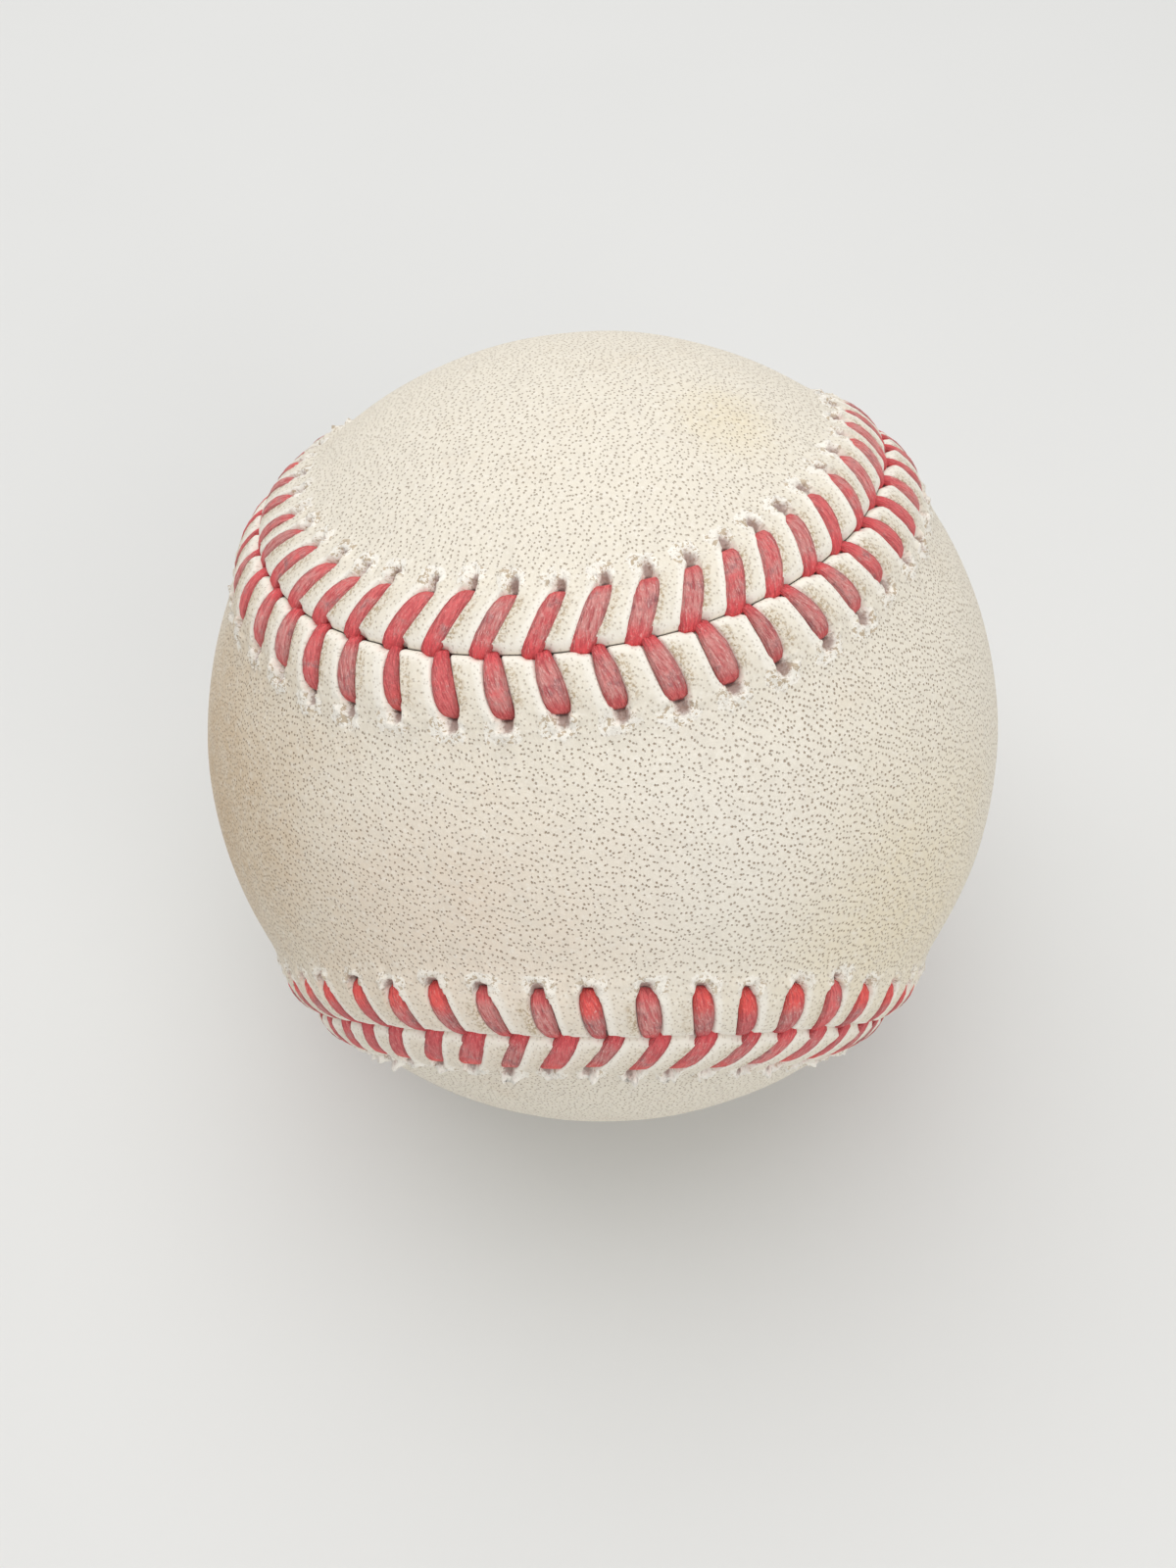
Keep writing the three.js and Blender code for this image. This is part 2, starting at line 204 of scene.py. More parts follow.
def makeLeather():
    material, start, place = startMaterial("worn_leather")
    fromSeam, pillow = attribute(start, "fromSeam"), attribute(start, "pillow")
    trough, pit, behind = attribute(start, "trough"), attribute(start, "pit"), attribute(start, "behind")
    torn, wear = attribute(start, "torn"), attribute(start, "wear")
    hide, seamWay = attribute(start, "hide", "Vector"), attribute(start, "seamWay", "Vector")
    welt = fromSeam.step(7.0, 4.4)          # 1 on the raised leather

    # broad stains, partly painted shade on the left front, then finer mottling; the shifts only keep the patterns
    # apart
    cloud = place.shifted(40, 7, 3).noise(0.12, 4.0, 0.6)
    mottle = place.noise(0.7, 4.0, 0.65)
    patchy = place.shifted(11, 2, 6).noise(0.3, 4.0, 0.65).step(0.25, 0.7) * 0.4 + 0.7
    flecks = place.shifted(21, 4, 15).noise(2.4, 2.0, 0.6)
    colour = start.blend(leatherSet["cream"], leatherSet["stainAndShade"], cloud.step(0.55, 0.8) * leatherSet["clouding"])
    for tone, middle, radius, strength in leatherSet["patches"]:
        gone = place.vector("DISTANCE", middle, "Value")
        share = (0.75 - gone / radius + (cloud - 0.5) * 0.35).step(0.0, 0.7) * patchy * strength
        colour = colour.under(leatherSet[tone], share)
    colour = colour.under(leatherSet["grey"], mottle.step(0.42, 0.75) * leatherSet["mottling"])
    colour = colour.under(leatherSet["clean"], flecks.step(0.5, 0.75) * leatherSet["flecks"])

    # leather is cleaner and whiter round the holes, at the gap and beside each strand; flakes are whitest
    ragged = place.shifted(3, 9, 27).noise(1.3, 3.0, 0.65)
    flaked = torn.step(0.9, 1.2)
    tear = (torn + (ragged - 0.5) * 1.1).step(0.38, 0.52) * (wear * 0.3 + 0.6).most(flaked)
    byHole = (torn * 1.7 - 0.4 + (ragged - 0.5) * 2.0).step(0.0, 0.8)
    beside = pillow.step(0.98, 0.55).most((0 - behind).step(0.4, 0.95)) * fromSeam.step(5.4, 4.4)
    white = (byHole * leatherSet["holeWhite"]).most(tear)
    white = white.most(fromSeam.step(1.3, 0.3) * leatherSet["gapWhite"]).most(beside * leatherSet["besideWhite"])
    colour = colour.under(leatherSet["clean"], white)

    # pores: soft dots scattered along wavy rows
    warp = start.add("ShaderNodeTexNoise", {"noise_dimensions": "2D"},
                     {"Vector": hide, "Scale": 0.35, "Detail": 1.0}, "Color")
    flow = start.add("ShaderNodeVectorMath", {"operation": "MULTIPLY_ADD"}, {0: warp, 1: (0.6, 0.7, 0), 2: hide})
    flow = start.add("ShaderNodeVectorRotate", {"rotation_type": "Z_AXIS"},
                     {"Vector": flow, "Angle": leatherSet["rowSlant"]})
    along, across = leatherSet["poreRows"]
    cells = flow.scaled(along, across, 0)
    look = ("ShaderNodeTexVoronoi", {"voronoi_dimensions": "2D"},
            {"Vector": cells, "Scale": 1.0, "Randomness": leatherSet["poreScatter"]})
    middles, chance = start.add(*look, "Position"), start.add(*look, "Color")
    luck = start.add("ShaderNodeSeparateColor", {}, {"Color": chance}, "Red")
    apart = cells.vector("SUBTRACT", middles).scaled(1 / along, 1 / across, 0).vector("LENGTH", out="Value")
    fromWaist = hide.axis("X").size()
    wider = fromWaist.step(8, 24) * fromWaist.step(60, 45)       # they are wider beside the waist
    pores = (leatherSet["poreSize"] * (luck * 0.3 + 0.85) * (wider * 0.18 + 1) - apart).step(-0.05, 0.03)
    pores = pores * (1 - white * 0.6) * (1 - welt * 0.4)
    high = place.axis("Z").step(26, 35)      # and fainter on top
    strength = place.shifted(8, 31, 2).noise(0.1, 2.0).step(0.25, 0.65) * 0.15 + 0.7
    strength = strength * (luck * 0.3 + 0.65) * (1 - high * 0.15)
    colour = colour.under(leatherSet["pore"], pores * strength)

    # dirt sits on the raised leather, on the side that faces away from the sewing; the troughs, the holes' pits
    # and the gap get painted shade
    speck = place.shifted(5, 5, 70).noise(4.2, 2.0, 0.6)
    sheltered = behind.step(0.1, 0.9) * fromSeam.step(0.4, 1.0) * fromSeam.step(4.6, 3.4) * pillow.step(0.4, 0.9)
    dust = speck.step(0.47, 0.6) * leatherSet["dustSpecks"] + leatherSet["dustFilm"]
    colour = colour.under(leatherSet["dirtAndCrumbShade"], dust * sheltered * wear.step(0.4, 0.75))
    # tan among the crumbs by the holes: partly dirt specks, partly painted shade in the hollows between the crumbs
    crumbs = place.shifted(60, 5, 7).noise(1.7, 3.0, 0.65)
    crumbly = (crumbs + (speck - 0.5) * 0.5).step(0.53, 0.6) * tear * torn.step(1.25, 0.97)
    colour = colour.under(leatherSet["dirtAndCrumbShade"], crumbly * leatherSet["crumbDirtAndShade"])
    # painted shade: grey-brown in the troughs beyond the holes, dark in the holes' pits, and dark along the gap,
    # partly grime and partly painted shade
    shaded = (trough + (speck - 0.5) * 0.6).step(0.2, 0.7)
    colour = colour.under(leatherSet["trough"], shaded * leatherSet["troughShade"])
    deepest = (pit + (speck - 0.5) * 0.5).step(0.3, 0.8)
    colour = colour.under(leatherSet["dark"], deepest * leatherSet["pitShade"])
    colour = colour.under(leatherSet["dark"], fromSeam.step(0.06, 0.03) * leatherSet["gapShade"])

    grain = hide.noise(3.4, 4.0, 0.7)
    creases = seamWay.scaled(1.5, 1.5, 0.28).noise(1.0, 3.0, 0.6)
    pulled = fromSeam.step(4.2, 5.6) * fromSeam.step(10.5, 6.5)
    height = grain * leatherSet["grain"] + creases * pulled * leatherSet["creases"]
    height = height + mottle * leatherSet["mottleHeight"] - pores * leatherSet["poreDepth"]
    height = height + (ragged - crumbs) * tear * leatherSet["tearHeight"]
    rough = leatherSet["roughness"] + mottle * 0.15
    endMaterial(start, {"Base Color": colour, "Roughness": rough, "Normal": height.bump(),
                        "Specular IOR Level": leatherSet["shine"]})
    return material


# waxed red thread: bright where it is sheltered, dusty and fibrous where it is rubbed
threadSet = {
    "red": tint(240, 118, 118), "deep": tint(202, 79, 84), "rubbed": tint(228, 159, 153),
    "dust": tint(252, 204, 196), "sootAndShade": tint(160, 110, 114), "sheltered": tint(252, 92, 98),
    "fresh": tint(255, 100, 94),
    # how much of each colour there is where there is most of it
    "rubbing": 0.85, "sooting": 0.65, "shelter": 0.8, "grimeAndShade": 0.25, "freshness": 0.9, "fibreShade": 0.6,
    "dustFilm": 0.3, "dustOnTop": 0.4, "plyShade": 0.25,
    # the fibres' slant, the ply groove's share of the strand, and heights in mm
    "twist": 0.12, "plyWidth": 0.2, "fibres": 0.3, "fine": 0.2, "plyDepth": 0.06,
    "roughness": 0.75, "shine": 0.3}


def makeThread():
    material, start, place = startMaterial("waxed_thread")
    rise, tone, wear = attribute(start, "rise"), attribute(start, "strandTone"), attribute(start, "wear")
    toGap, side = attribute(start, "toGap"), attribute(start, "fromMiddle")
    lay = start.add("ShaderNodeUVMap", {"uv_map": "lay"})
    twisted = start.add("ShaderNodeMapping", {}, {"Vector": lay, "Rotation": (0, 0, threadSet["twist"])})
    fibres = twisted.scaled(0.8, 5.0, 0).noise(1.0, 3.0, 0.6)
    fine = twisted.scaled(1.6, 10.0, 0).noise(1.0, 3.0, 0.7)
    specks, blotch = place.noise(5.5, 2.0, 0.6), place.noise(0.8, 3.0, 0.6)

    rubbed = rise.step(0.45, 1.0) * (blotch + (tone - 0.5) * 0.5).step(0.28, 0.6)
    colour = start.blend(threadSet["red"], threadSet["rubbed"], rubbed * threadSet["rubbing"])
    colour = colour.under(threadSet["sootAndShade"], rubbed * blotch.step(0.52, 0.7) * threadSet["sooting"])
    colour = colour.under(threadSet["sheltered"], toGap.step(0.68, 0.95) * threadSet["shelter"])
    low = wear.step(0.7, 0.5)       # strands low on the ball are fresh at the hole and darker at the gap: partly grime, partly painted shade where they face down
    # grime and painted shade towards the gap on strands low on the ball
    grimyAndShaded = low * rise.step(0.4, 0.8) * toGap.step(0.25, 0.6)
    colour = colour.under(threadSet["sootAndShade"], grimyAndShaded * threadSet["grimeAndShade"])
    colour = colour.under(threadSet["fresh"], low * toGap.step(0.5, 0.22) * threadSet["freshness"])
    colour = colour.under(threadSet["deep"], fibres.step(0.54, 0.36) * threadSet["fibreShade"])
    dusty = rubbed * threadSet["dustOnTop"] + threadSet["dustFilm"]
    colour = colour.under(threadSet["dust"], (fine * 0.7 + specks * 0.4).step(0.56, 0.72) * dusty)
    ply = (side.size() / threadSet["plyWidth"]).step(1.0, 0.0) * tone.step(0.6, 0.75)     # on some strands only
    colour = colour.under(threadSet["deep"], ply * threadSet["plyShade"])
    height = fibres * threadSet["fibres"] + fine * threadSet["fine"] - ply * threadSet["plyDepth"]
    endMaterial(start, {"Base Color": colour, "Roughness": threadSet["roughness"], "Normal": height.bump(),
                        "Specular IOR Level": threadSet["shine"]})
    return material


# the seam on a ball of radius 1, and places beside it
def seamPoint(t):
    wide = (1 + math.sin(math.radians(seamSet["waist"]))) / 2
    narrow = 1 - wide
    square = seamSet["squareness"]
    x = wide * np.cos(t) + narrow * np.cos(3 * t) - square * np.cos(5 * t)
    y = wide * np.sin(t) - narrow * np.sin(3 * t) - square * np.sin(5 * t)
    z = 2 * math.sqrt(wide * narrow) * np.sin(2 * t)
    point = np.stack([x, y, z], -1)
    return point / np.linalg.norm(point, axis=-1, keepdims=True)


seamTurns = -math.pi / 4 + np.linspace(0, 2 * math.pi, seamSet["samples"] + 1)
seamSteps = np.linalg.norm(np.diff(seamPoint(seamTurns), axis=0), axis=1)
seamRun = np.concatenate([[0], np.cumsum(seamSteps)])
seamLength = seamRun[-1] * ballSet["weltRadius"]


def seamAngle(along):
    share = np.mod(along / seamLength, 1.0)
    return np.interp(share * seamRun[-1], seamRun, seamTurns)


def unit(vectors):
    return vectors / np.linalg.norm(vectors, axis=-1, keepdims=True)


# directions at places on the seam: out of the ball, along the seam, and across to the front cover
def seamFrame(along):
    t, nudge = seamAngle(along), seamSet["nudge"]
    up = seamPoint(t)
    forward = unit(seamPoint(t + nudge) - seamPoint(t - nudge))
    return up, forward, unit(np.cross(up, forward))


def spot(along, inset, radius):
    up, forward, across = seamFrame(along)
    angle = (inset / ballSet["radius"])[..., None]
    return (up * np.cos(angle) + across * np.sin(angle)) * np.asarray(radius)[..., None]


# the point of a cover's middle line that a place on its edge faces
def middlePoint(side, along):
    lengthwise = np.array([1.0, -side, 0.0]) / math.sqrt(2)
    edge = seamPoint(seamAngle(along))
    tipPoint = seamPoint(np.array(-side * math.pi / 4))
    reach = math.atan2(tipPoint @ lengthwise, side * tipPoint[2])
    here = np.arctan2(edge @ lengthwise, side * edge[..., 2])
    angle = math.radians(seamSet["lobeCentre"]) * np.sin(math.pi / 2 * here / reach)
    middle = np.zeros(angle.shape + (3,))
    middle[..., 2] = side * np.cos(angle)
    return middle + lengthwise * np.sin(angle)[..., None]


def smooth(low, high, value):
    share = np.clip((value - low) / (high - low), 0, 1)
    return share * share * (3 - 2 * share)


# 1 at the middle and less to both sides; a higher power makes it flatter on top
def hump(value, middle, width, power=2):
    return np.exp(-((value - middle) / width) ** power)


# a smooth line through (place, height) stops
def profile(stops, where):
    places, heights = np.array(stops, float).T
    slopes = np.gradient(heights, places)
    k = np.clip(np.searchsorted(places, where) - 1, 0, len(places) - 2)
    span = places[k + 1] - places[k]
    s = np.clip((where - places[k]) / span, 0, 1)
    rise = heights[k + 1] - heights[k]
    a = slopes[k] * span - rise
    b = rise - slopes[k + 1] * span
    return heights[k] + rise * s + s * (1 - s) * (a * (1 - s) + b * s)


# the ball lies as in the part's source
turn = np.array(Matrix.Rotation(math.radians(ballSet["tip"]), 3, "X")
                @ Matrix.Rotation(math.radians(ballSet["sideLean"]), 3, "Y")
                @ Matrix.Rotation(math.radians(ballSet["spin"]), 3, "Z"))


def placed(points):
    return points @ turn.T / 1000


def roughened(points, scale, octaves=2):
    flat = points.reshape(-1, 3) * scale
    values = [noise.fractal(Vector(p), 1.0, 2.0, octaves) for p in flat]
    return np.array(values).reshape(points.shape[:-1])


# each stitch differs a little: its hole's place, its lean, width and height, and how far its hole has torn
stitchSet = {
    "count": 108, "inset": 4.7, "lean": 1.75, "stagger": 0.98, "holeLead": {1: 0.35, -1: -0.15}, "seed": 11,
    "holeShift": 0.13, "leanShift": 0.15, "insetShift": 0.18, "widthSpread": 0.11, "liftSpread": 0.06,
    "wearSpread": 0.15, "gapFollows": 0.6, "ownReach": 0.95,
    # heights below are shares of the radius: the upper side has been hit more, and the back cover's
    # holes push out white flakes low on the ball
    "wornLow": 0.3, "wornMore": 0.6, "wornHeights": (-0.05, 0.6), "flakeHeights": (0.5, 0.32)}
pitch = seamLength / stitchSet["count"]


def makeStitches():
    count = stitchSet["count"]
    draw = np.random.default_rng(stitchSet["seed"])

    def spread(name):
        size = stitchSet[name]
        return np.clip(draw.normal(0, size, count), -2 * size, 2 * size)

    height = placed(seamPoint(seamAngle(np.arange(count) * pitch)))[:, 2] * 1000
    worn = stitchSet["wornLow"] + stitchSet["wornMore"] * smooth(*stitchSet["wornHeights"], height)
    stitches = {}
    for side in (1, -1):
        hole = spread("holeShift")
        lean = stitchSet["lean"] - side * stitchSet["stagger"] / 2
        stitches[side] = {
            "hole": hole + stitchSet["holeLead"][side],
            "gap": lean + hole * stitchSet["gapFollows"] + spread("leanShift"),
            "inset": stitchSet["inset"] + spread("insetShift"),
            "width": 1 + spread("widthSpread"),
            "lift": spread("liftSpread"),
            "tone": draw.random(count),
            "wear": np.clip(worn + spread("wearSpread"), 0, 1),
            "flake": smooth(*stitchSet["flakeHeights"], height) * (side < 0),
        }
    return stitches


stitches = makeStitches()


# the values of a place's own stitch, gone over to the next one's half way between them
def stitchValues(side, stitch, across):
    following = (stitch + np.sign(across).astype(int)) % stitchSet["count"]
    share = 0.5 * smooth(stitchSet["ownReach"], pitch / 2, np.abs(across))
    return {key: values[stitch] * (1 - share) + values[following] * share
            for key, values in stitches[side].items()}


# a cover laid out flat, in mm, so that its grain runs along the hide
def hideLayout(side, direction):
    upward, lengthwise = np.array([0.0, 0.0, side]), np.array([1.0, -side, 0.0]) / math.sqrt(2)
    turned = np.arctan2(direction @ lengthwise, direction @ upward)
    tilted = np.arcsin(np.clip(direction @ np.cross(upward, lengthwise), -1, 1))
    centre = np.sign(turned) * math.radians(seamSet["lobeCentre"])
    away = np.arccos(np.clip(np.cos(tilted) * np.cos(turned - centre), -1, 1))
    stretch = away / np.maximum(np.sin(away), 1e-6)
    lobe = np.stack([centre + np.cos(tilted) * np.sin(turned - centre) * stretch, np.sin(tilted) * stretch], -1)
    fadeFrom, fadeTo = seamSet["lobeFade"]
    onLobe = smooth(math.radians(fadeFrom), math.radians(fadeTo), np.abs(turned))[:, None]
    layout = np.stack([turned, tilted], -1) * (1 - onLobe) + lobe * onLobe
    return np.concatenate([layout * ballSet["radius"], 0 * onLobe], -1)


# a cover is a grid: columns follow the seam, rows go from the inner face round the edge to the outer face
coverSet = {
    # from the middle of a strand, and from the seam
    "columns": (-1.6, -1.3, -1.02, -0.9, -0.78, -0.62, -0.34, 0.0, 0.34, 0.62, 0.78, 0.9, 1.02, 1.3, 1.6),
    "outerRows": (0.03, 0.08, 0.16, 0.27, 0.42, 0.62, 0.88, 1.22, 1.65, 2.1, 2.6, 3.1, 3.5, 3.8, 4.05, 4.26, 4.46,
                  4.66, 4.86, 5.06, 5.26, 5.46, 5.68, 5.95, 6.3, 6.8, 7.4, 8.1, 8.8),
    "innerRows": (8.8, 6.6, 3.6, 0.6, 0.03), "panelRows": 13, "innerPanelRows": 4,
    # (from the seam, height) of the leather between strands, under them, and at a hole that hasn't torn
    "welt": ((0, 0.12), (0.06, 0.34), (0.15, 0.54), (0.3, 0.74), (0.55, 0.9), (0.9, 1.0), (1.5, 1.08), (2.4, 1.09),
             (3.3, 1.0), (4.1, 0.82), (4.8, 0.58), (5.5, 0.34), (6.3, 0.15), (7.2, 0.04), (8.8, 0)),
    "groove": ((0, -0.2), (0.3, 0.05), (0.7, 0.3), (1.3, 0.48), (2.1, 0.56), (2.9, 0.48), (3.5, 0.26),
               (3.95, -0.1), (4.3, -0.42), (4.7, -0.46), (5.05, -0.38), (5.4, -0.2), (5.8, 0.0), (6.2, 0.11),
               (6.6, 0.1), (7.2, 0.04), (8.8, 0)),
    "tightHole": ((4.0, -0.14), (4.35, -0.42), (4.55, -0.38), (4.8, -0.06), (5.05, 0.22), (5.4, 0.3), (6.3, 0.15),
                  (7.2, 0.04), (8.8, 0)), "tightFrom": 4.2,
    # (from the seam, half the width) of the groove, and where its side is, in shares of that
    "grooveWidth": ((0, 0.6), (0.5, 0.69), (1.2, 0.76), (2.6, 0.8), (3.6, 0.78), (4.2, 0.69), (4.7, 0.53),
                    (5.2, 0.44), (5.6, 0.4), (8.8, 0.4)), "grooveSide": (0.84, 1.2),
    # depth and half width at the gap: the edge is cut back for both strands and dented by the other one
    "notch": (0.16, 0.62), "otherNotch": (0.14, 0.5), "dent": (0.4, 0.52),
    # spots by a hole: from the seam, half the length, along the seam from the hole, half the width
    "torn": (5.2, 1.0, 0.25, 1.4), "lips": (5.1, 0.7, 0.85, 0.42), "brim": (5.4, 0.36, 0.0, 0.85),
    "trough": (4.65, 0.35, -0.12, 0.46), "pit": (4.6, 0.34, 0.0, 0.46),
    # how far wear moves spots out, and what wear and flakes add to their length
    "tornOut": 0.5, "brimOut": 0.6, "troughOut": 0.5, "troughWear": 0.45, "brimFlake": 0.2,
    # strength of the tearing, and height of lips and brims: at least, by wear, by flakes, by roughness
    "tearing": (0.5, 0.5, 0.8), "lipWear": (0.45, 0.55), "lipShape": (0.6, 0.5, 1.8),
    "lip": 0.22, "brimHeight": 1.7, "brimFlakeHeight": 1.2,
    "crumbs": 0.22, "unevenness": 0.1, "puckers": 0.08, "fine": 0.05}


def gridMesh(name, across, along):
    bm = bmesh.new()
    bmesh.ops.create_grid(bm, x_segments=across, y_segments=along, size=0.5)
    mesh = bpy.data.meshes.new(name)
    bm.to_mesh(mesh)
    bm.free()
    flat = np.zeros(len(mesh.vertices) * 3, np.float32)
    mesh.vertices.foreach_get("co", flat)
    flat = flat.reshape(-1, 3)
    column = np.rint((flat[:, 0] + 0.5) * across).astype(int)
    row = np.rint((flat[:, 1] + 0.5) * along).astype(int)
    return mesh, column, row


def setAttribute(mesh, name, values):
    layer = mesh.attributes.new(name, "FLOAT", "POINT")
    layer.data.foreach_set("value", np.ascontiguousarray(values, np.float32).ravel())


def setVectors(mesh, name, values):
    layer = mesh.attributes.new(name, "FLOAT_VECTOR", "POINT")
    layer.data.foreach_set("vector", np.ascontiguousarray(values, np.float32).ravel())


# a UV map in mm, along a tube and round it
def setLay(mesh, column, row, run, girth, sides):
    layer = mesh.uv_layers.new(name="lay")
    corner = np.zeros(len(mesh.loops), np.int32)
    mesh.loops.foreach_get("vertex_index", corner)
    layout = np.stack([run[row[corner]], girth * column[corner] / sides], -1)
    layer.data.foreach_set("uv", np.ascontiguousarray(layout, np.float32).ravel())


def openEdges(bm):
    return sum(1 for edge in bm.edges if len(edge.link_faces) != 2)


meshSet = {"weld": 1.5e-5, "sliver": 1e-6}      # in metres


# puts the points in place, closes the seam and any open end, and turns the faces outwards
def finishMesh(mesh, points):
    mesh.vertices.foreach_set("co", np.ascontiguousarray(placed(points), np.float32).ravel())
    bm = bmesh.new()
    bm.from_mesh(mesh)
    bmesh.ops.remove_doubles(bm, verts=bm.verts, dist=meshSet["weld"])
    bmesh.ops.dissolve_degenerate(bm, edges=bm.edges, dist=meshSet["sliver"])
    ends = [edge for edge in bm.edges if len(edge.link_faces) == 1]
    bmesh.ops.holes_fill(bm, edges=ends, sides=0)
    bmesh.ops.recalc_face_normals(bm, faces=bm.faces)
    for face in bm.faces:
        face.smooth = True
    loose = openEdges(bm)
    bm.to_mesh(mesh)
    bm.free()
    print(mesh.name, "faces", len(mesh.polygons), "filled edges", len(ends), "open edges", loose)


def addPiece(mesh, material, slot, *nodes):
    piece = bpy.data.objects.new(mesh.name, mesh)
    mesh.materials.append(material)
    bpy.context.scene.collection.objects.link(piece)
    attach(piece, "root")
    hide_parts(*nodes)
    return piece


def makeCover(name, side, node, material):
    columns = np.array(coverSet["columns"] + (pitch / 2,))
    perStitch = len(columns)
    count = stitchSet["count"] * perStitch
    outer, inner = np.array(coverSet["outerRows"]), np.array(coverSet["innerRows"])
    panel = np.arange(1, coverSet["panelRows"] + 1) / coverSet["panelRows"]
    innerPanel = np.arange(coverSet["innerPanelRows"], 0, -1) / coverSet["innerPanelRows"]
    rowShare = np.concatenate([innerPanel, 0 * inner, 0 * outer, panel])
    rowFrom = np.concatenate([0 * innerPanel + inner[0], inner, outer, 0 * panel + outer[-1]])
    rowOuter = np.concatenate([0 * innerPanel, 0 * inner, 0 * outer + 1, 0 * panel + 1])
    mesh, column, row = gridMesh(name, count, len(rowShare) - 1)

    stitch = (column // perStitch) % stitchSet["count"]
    across = columns[column % perStitch]      # from the middle of the strand, forwards along the seam
    along = (column // perStitch) * pitch + across
    fromSeam, share, isOuter = rowFrom[row], rowShare[row], rowOuter[row]
    own = stitchValues(side, stitch, across)
    wear, flake = own["wear"], own["flake"]
    byHole = fromSeam + (stitchSet["inset"] - own["inset"]) * smooth(2, 4, fromSeam)

    # columns lean with the strands, and stand straight again in the panel
    toHole = np.clip(1 - fromSeam / own["inset"], 0, 1)
    shear = own["hole"] + (own["gap"] - own["hole"]) * toHole
    shear = shear * (1 - smooth(own["inset"] + 0.6, outer[-1], fromSeam))

    # at the gap the edge is cut back where the two strands go down
    other = across - side * stitchSet["stagger"]
    depth, half = coverSet["notch"]
    otherDepth, otherHalf = coverSet["otherNotch"]
    notch = depth * hump(across, 0, half, 4) + otherDepth * hump(other, 0, otherHalf, 4)
    inset = fromSeam + notch * (1 - smooth(0.03, 1.3, fromSeam))

    # sunk grooves under the strands, padded leather between them
    width = profile(coverSet["grooveWidth"], byHole) * own["width"]
    pillow = smooth(*coverSet["grooveSide"], np.abs(across) / width)
    top = profile(coverSet["welt"], fromSeam) + own["lift"] * smooth(8, 4, fromSeam)
    floor = profile(coverSet["groove"], byHole)
    tight = np.where(byHole > coverSet["tightFrom"], profile(coverSet["tightHole"], byHole), floor)
    floor = tight + (floor - tight) * wear
    depth, half = coverSet["dent"]
    dent = depth * hump(other, 0, half, 4) * (1 - smooth(0.15, 0.6, fromSeam)) * pillow
    rise = floor + (top - floor) * pillow - dent

    direction = spot(along + shear, side * inset, np.ones(len(along)))
    straight = spot(along, side * fromSeam, np.ones(len(along)))
    towards = middlePoint(side, along)
    whole = np.arccos(np.clip(np.sum(straight * towards, -1), -1, 1))[:, None]
    part = share[:, None]
    inPanel = unit(straight * np.sin((1 - part) * whole) + towards * np.sin(part * whole))
    direction = np.where(part > 0, inPanel, direction)
    distance = np.where(share > 0, fromSeam + share * whole[:, 0] * ballSet["radius"], fromSeam)

    def holeSpot(kind, sideways=across, power=2, out=0.0, longer=0.0):
        far, length, aside, half = coverSet[kind]
        return hump(byHole, far + out, length + longer) * hump(sideways, aside, half, power)

    # torn lips and crumbs round the holes, puckers beyond them, and uneven leather
    least, byWear, byFlake = coverSet["tearing"]
    torn = holeSpot("torn", power=4, out=coverSet["tornOut"] * wear) * (least + byWear * wear + byFlake * flake)
    lips = holeSpot("lips", np.abs(across))
    brim = holeSpot("brim", out=coverSet["brimOut"] * wear, longer=coverSet["brimFlake"] * flake)
    around = 2 * math.pi * along / seamLength
    ring = seamLength / (2 * math.pi)
    seamWay = np.stack([ring * np.cos(around), ring * np.sin(around), distance], -1)
    fine = roughened(direction * ballSet["radius"], 1.5)
    crumbs = np.maximum(roughened(direction * ballSet["radius"] + 50, 2.0), 0)
    broad = roughened(direction * ballSet["radius"], 0.11, 1)
    folds = roughened(seamWay * np.array([1.0, 1.0, 0.25]), 1.0)
    onEdge = share == 0
    least, byFlake, byRoughness = coverSet["lipShape"]
    lipShape = least + byFlake * flake + byRoughness * fine
    least, byWear = coverSet["lipWear"]
    lip = lips + coverSet["brimHeight"] * (1 + coverSet["brimFlakeHeight"] * flake) * brim
    rise = rise + coverSet["lip"] * lip * lipShape * (least + byWear * wear) * onEdge
    rise = rise + coverSet["crumbs"] * crumbs * torn * onEdge
    rise = rise + coverSet["puckers"] * folds * smooth(4.4, 5.6, fromSeam) * smooth(10, 6.5, distance)
    rise = rise + coverSet["unevenness"] * broad * smooth(5, 12, distance)
    onPads = smooth(9, 5, fromSeam) * smooth(0.1, 0.8, fromSeam) * onEdge * pillow
    rise = rise + coverSet["fine"] * fine * onPads
    outerRadius = ballSet["radius"] + rise
    innerRadius = ballSet["inner"] + (ballSet["weltInner"] - ballSet["inner"]) * smooth(7.6, 6, fromSeam)
    radius = np.where(isOuter > 0, outerRadius, innerRadius)

    # the trough and pit spots only mark where the leather gets painted shade
    trough = holeSpot("trough", out=coverSet["troughOut"] * wear, longer=coverSet["troughWear"] * wear)
    values = {"fromSeam": distance, "pillow": pillow, "trough": trough, "pit": holeSpot("pit", power=4),
              "torn": torn, "wear": wear, "behind": -np.sin(2 * math.pi * across / pitch)}
    for key in values:
        setAttribute(mesh, key, values[key])
    setVectors(mesh, "hide", hideLayout(side, direction))
    setVectors(mesh, "seamWay", seamWay)
    finishMesh(mesh, direction * radius[:, None])
    return addPiece(mesh, material, "leather", node)


